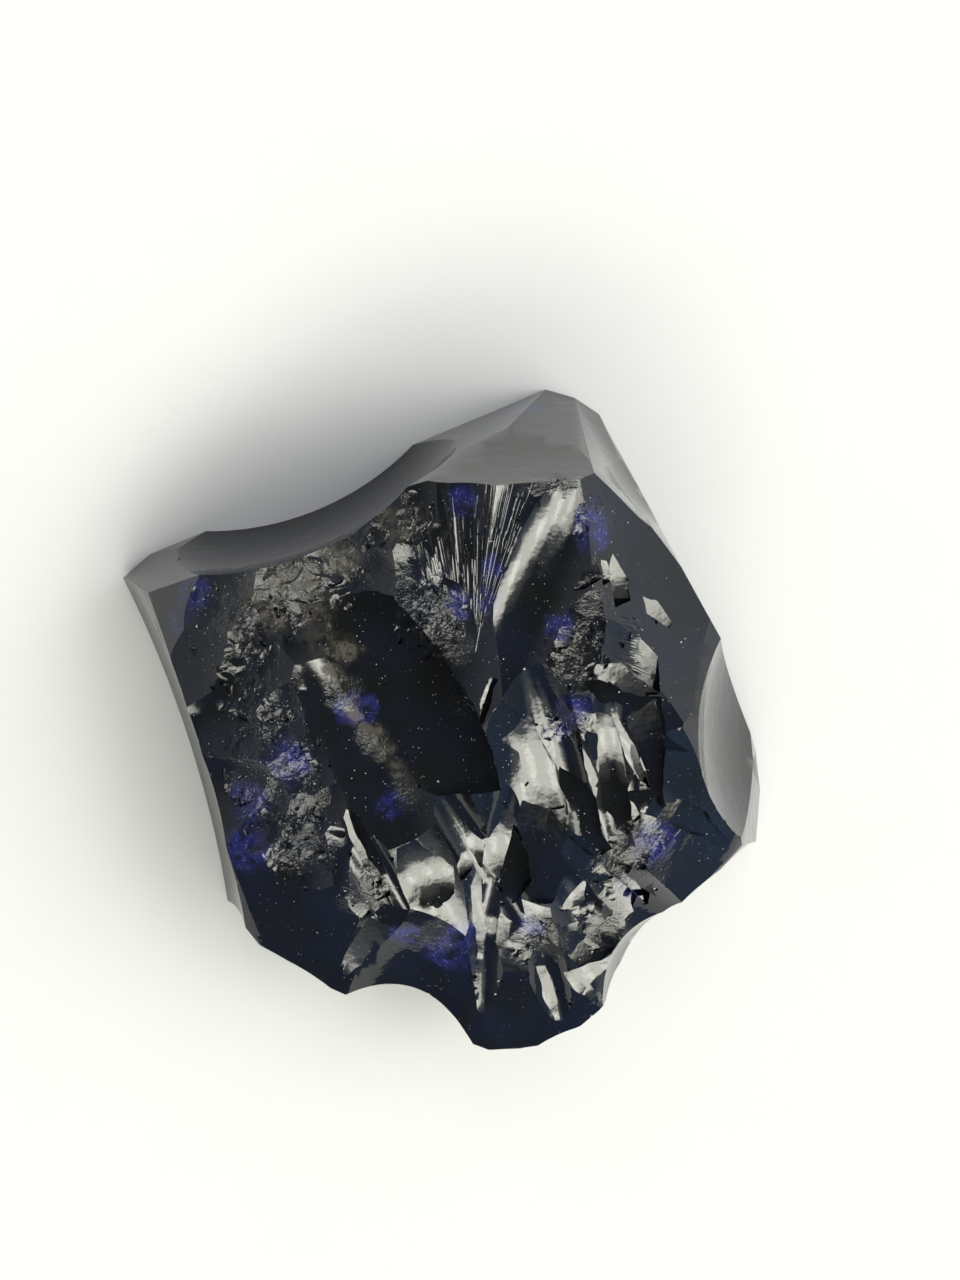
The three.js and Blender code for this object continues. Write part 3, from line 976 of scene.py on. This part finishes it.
cloudy = ramp(tree, noise(tree, place, CLOUD_SIZE)["Fac"], *CLOUDY)
colour = mix(tree, cloudy, BLACK_GLASS, NAVY_GLASS)
fine = noise(tree, place, FINE_SIZE, detail=3)["Fac"]
broad = noise(tree, place, BROAD_SIZE, detail=5)["Fac"]
powder = ramp(tree, fine, *POWDERY)
colour = mix(tree, sum_of(tree, "MULTIPLY", crushed_mask, powder), colour, CRUSHED_GREY)
# Painted light through thin glass in its own blue, with pale specks painted on as glints.
shine_through = sum_of(tree, "MULTIPLY", shine_through_mask, ramp(tree, broad, *SHINE_SPAN))
colour = mix(tree, shine_through, colour, COBALT_SHINE_THROUGH)
blue_glint = sum_of(tree, "MULTIPLY", shine_through, ramp(tree, fine, *GLINT_SPAN))
colour = mix(tree, blue_glint, colour, PAINTED_BLUE_GLINT)
dirty = sum_of(tree, "MULTIPLY", dirt_mask, ramp(tree, broad, *DIRTY))
dirty = sum_of(tree, "MULTIPLY", dirty, ramp(tree, fine, *DIRT_GRAIN))
colour = mix(tree, dirty, colour, DIRT_BROWN)

# %% Dust
# Each layer: (cell size in millimetres, share of cells with a speck, smallest and largest radius in cells).
DUST = [(1.7, 0.2, 0.03, 0.07), (0.6, 0.25, 0.04, 0.11), (0.3, 0.14, 0.08, 0.22)]
# Dust lies in clumps, thicker high up and wherever flakes came away, and only on what faces up.
CLUMP_SIZE = 4
CLUMPED = (0.42, 0.62, 0.05, 1.0)
HIGH_UP = (15 * MM, 21 * MM, 0.4, 0.9)
FACING_UP = (0.3, 0.8)
dust = None
for cell, share, smallest, largest in DUST:
    cells = node(tree, "TexVoronoi", {"Vector": place, "Scale": 1 / (cell * MM)}).outputs
    chosen = node(tree, "SeparateColor", {0: cells["Color"]}).outputs
    radius = ramp(tree, chosen[1], 0.0, 1.0, smallest, largest)
    speck = sum_of(tree, "LESS_THAN", cells["Distance"], radius)
    speck = sum_of(tree, "MULTIPLY", speck, sum_of(tree, "LESS_THAN", chosen[0], share))
    dust = speck if dust is None else sum_of(tree, "MAXIMUM", dust, speck)
clumps = ramp(tree, noise(tree, place, CLUMP_SIZE, detail=3)["Fac"], *CLUMPED)
height = node(tree, "SeparateXYZ", {0: place}).outputs["Z"]
settled = sum_of(tree, "MULTIPLY", clumps, ramp(tree, height, *HIGH_UP))
settled = sum_of(tree, "MAXIMUM", settled, flaked_mask)
dust = sum_of(tree, "MULTIPLY", dust, settled)
upward = node(tree, "SeparateXYZ", {0: node(tree, "NewGeometry").outputs["Normal"]}).outputs["Z"]
dust = sum_of(tree, "MULTIPLY", dust, ramp(tree, upward, *FACING_UP))
colour = mix(tree, dust, colour, DUST_WHITE)
tree.links.new(colour, shader.inputs["Base Color"])

# %% Gloss
# Roughness of clean glass, from its smoothest to its dullest, and of what lies on it or breaks it.
SMOOTH_GLOSS = 0.045
DULL_GLOSS = 0.13
SMEAR_SIZE = 6
SMEARED = (0.4, 0.7, SMOOTH_GLOSS, DULL_GLOSS)
CRUSHED_DULL = 0.16
DIRT_DULL = 0.75
DUST_DULL = 0.8
GLASS_IOR = 1.48
gloss = ramp(tree, noise(tree, place, SMEAR_SIZE, detail=4)["Fac"], *SMEARED)
for mask, dull in ((crushed_mask, CRUSHED_DULL), (dirty, DIRT_DULL), (dust, DUST_DULL)):
    gloss = sum_of(tree, "MAXIMUM", gloss, sum_of(tree, "MULTIPLY", mask, dull))
tree.links.new(gloss, shader.inputs["Roughness"])
shader.inputs["IOR"].default_value = GLASS_IOR

# %% Fine relief
RIPPLE_SIZE = 3.0
RIPPLE_DEPTH = 0.06 * MM
STREAK_SIZE = 0.8
STREAK_DEPTH = 0.008 * MM
STREAK_TURN = (0, 0, math.radians(-8))
STREAK_STRETCH = (1, 0.14, 0.5)
GRIT_SIZE = 0.36
GRIT_DEPTH = 0.10 * MM
FLAKED_GRIT = 0.6
ripple = noise(tree, place, RIPPLE_SIZE, detail=3)["Fac"]
drawn_out = {"Vector": place, "Rotation": STREAK_TURN, "Scale": STREAK_STRETCH}
streak = noise(tree, node(tree, "Mapping", drawn_out).outputs[0], STREAK_SIZE, detail=4)["Fac"]
gritty = sum_of(tree, "MAXIMUM", crushed_mask, sum_of(tree, "MULTIPLY", flaked_mask, FLAKED_GRIT))
grit = sum_of(tree, "MULTIPLY", noise(tree, place, GRIT_SIZE, detail=4, roughness=0.6)["Fac"], gritty)
swell = node(tree, "Bump", {"Height": ripple, "Distance": RIPPLE_DEPTH})
drawn = node(tree, "Bump", {"Height": streak, "Distance": STREAK_DEPTH, "Normal": swell.outputs[0]})
relief = node(tree, "Bump", {"Height": grit, "Distance": GRIT_DEPTH, "Normal": drawn.outputs[0]})
tree.links.new(relief.outputs[0], shader.inputs["Normal"])
lump.data.materials.clear()
lump.data.materials.append(glass)
print("glass:", len(tree.nodes), "nodes")

# %% [markdown]
# ## Table, light and camera
# The lump lies on a pale table. A wide window stands in front of it and to its right, half way up the sky, so
# only the scars that lean that way shine. It is painted on the sky as a row of soft round glows, because a
# glossy surface mirrors whatever surrounds it, and a lamp with a hard border would leave hard borders on
# every scar. Two soft lamps shape the shadow.

# %% The table
TABLE_SIZE = 3.0
PAPER_DARK = (0.44, 0.44, 0.44, 1)
PAPER_LIGHT = (0.46, 0.46, 0.46, 1)
PAPER_CLOUD_SIZE = 30
PAPER_ROUGH = 0.9
bpy.ops.object.select_all(action="DESELECT")
bpy.ops.mesh.primitive_plane_add(size=TABLE_SIZE)
table = bpy.context.object
table.name = "table"
paper, paper_shader = material("pale_table")
paper_place = node(paper.node_tree, "TexCoord").outputs["Object"]
paper_cloud = noise(paper.node_tree, paper_place, PAPER_CLOUD_SIZE)["Fac"]
paper_colour = mix(paper.node_tree, paper_cloud, PAPER_DARK, PAPER_LIGHT)
paper.node_tree.links.new(paper_colour, paper_shader.inputs["Base Color"])
paper_shader.inputs["Roughness"].default_value = PAPER_ROUGH
table.data.materials.append(paper)

# %% The light
# Each glow: (azimuth, elevation, full within, gone beyond, colour), angles in degrees.
GLOWS = [
    # the wide window, in a row from the front left to the right
    (-120, 45, 3, 11, (7.5, 7.5, 6.6)),
    (-102, 44, 3, 12, (10.5, 10.5, 9.3)),
    (-82, 44, 3, 12, (11.5, 11.5, 10.2)),
    (-62, 44, 3, 12, (11.5, 11.5, 10.2)),
    (-42, 44, 3, 12, (11.5, 11.5, 10.2)),
    (-22, 44, 3, 12, (11.0, 11.0, 9.7)),
    (4, 40, 3, 13, (6.0, 6.0, 5.3)),
    # the soft light round it
    (-106, 43, 5, 22, (1.3, 1.3, 1.1)),
    (-64, 43, 5, 22, (1.3, 1.3, 1.1)),
    (-22, 43, 5, 22, (1.2, 1.2, 1.0)),
    # pale walls: right, left, back
    (10, 8, 8, 40, (0.9, 0.95, 1.0)),
    (165, 4, 10, 68, (0.44, 0.48, 0.55)),
    (80, 4, 10, 68, (0.52, 0.56, 0.63)),
    # dim bluish room in front
    (-45, 12, 8, 40, (0.10, 0.20, 0.36)),
    (-100, 15, 8, 42, (0.01, 0.04, 0.16)),
]
ROOM = (0.09, 0.094, 0.088)

world = bpy.data.worlds.new("soft_room")
bpy.context.scene.world = world
world.use_nodes = True
sky = world.node_tree
look = node(sky, "TexCoord").outputs["Generated"]
total = None
for azimuth, elevation, full, gone, glow_colour in GLOWS:
    facing = Euler((0, -math.radians(elevation), math.radians(azimuth))).to_matrix() @ Vector((1, 0, 0))
    toward = node(sky, "VectorMath", {0: look, 1: facing}, operation="DOT_PRODUCT").outputs["Value"]
    share = ramp(sky, toward, math.cos(math.radians(gone)), math.cos(math.radians(full)))
    glow = node(sky, "VectorMath", {0: glow_colour, "Scale": share}, operation="SCALE").outputs[0]
    total = node(sky, "VectorMath", {0: total or ROOM, 1: glow}, operation="ADD").outputs[0]
sky.links.new(total, sky.nodes["Background"].inputs["Color"])

# %% Lamps that shape the shadow
# They stand on the right and behind, and are hidden from reflections, which the window alone should make.
# Each lamp: (azimuth, elevation, strength), angles in degrees.
LAMPS = [(5, 32, 2.9), (70, 44, 0.9)]
LAMP_SPREAD = math.radians(50)
for azimuth, elevation, strength in LAMPS:
    lamp = bpy.data.lights.new("lamp", "SUN")
    lamp.energy = strength
    lamp.angle = LAMP_SPREAD
    lamp_stand = bpy.data.objects.new("lamp", lamp)
    lamp_stand.rotation_euler = (0, math.radians(90 - elevation), math.radians(azimuth))
    lamp_stand.visible_glossy = False
    bpy.context.scene.collection.objects.link(lamp_stand)

# %% The camera
LENS = 45
SENSOR = 36
NEAR = 0.01
camera = bpy.data.cameras.new("camera")
camera.lens = LENS
camera.sensor_width = SENSOR
camera.clip_start = NEAR
stand = bpy.data.objects.new("camera", camera)
stand.location = [side * MM for side in EYE]
bpy.context.scene.collection.objects.link(stand)
bpy.context.scene.camera = stand
bpy.context.scene.view_settings.view_transform = "Standard"
print("camera at", EYE, "mm")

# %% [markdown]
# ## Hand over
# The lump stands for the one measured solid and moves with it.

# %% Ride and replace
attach(lump, "root")
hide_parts("tektite")
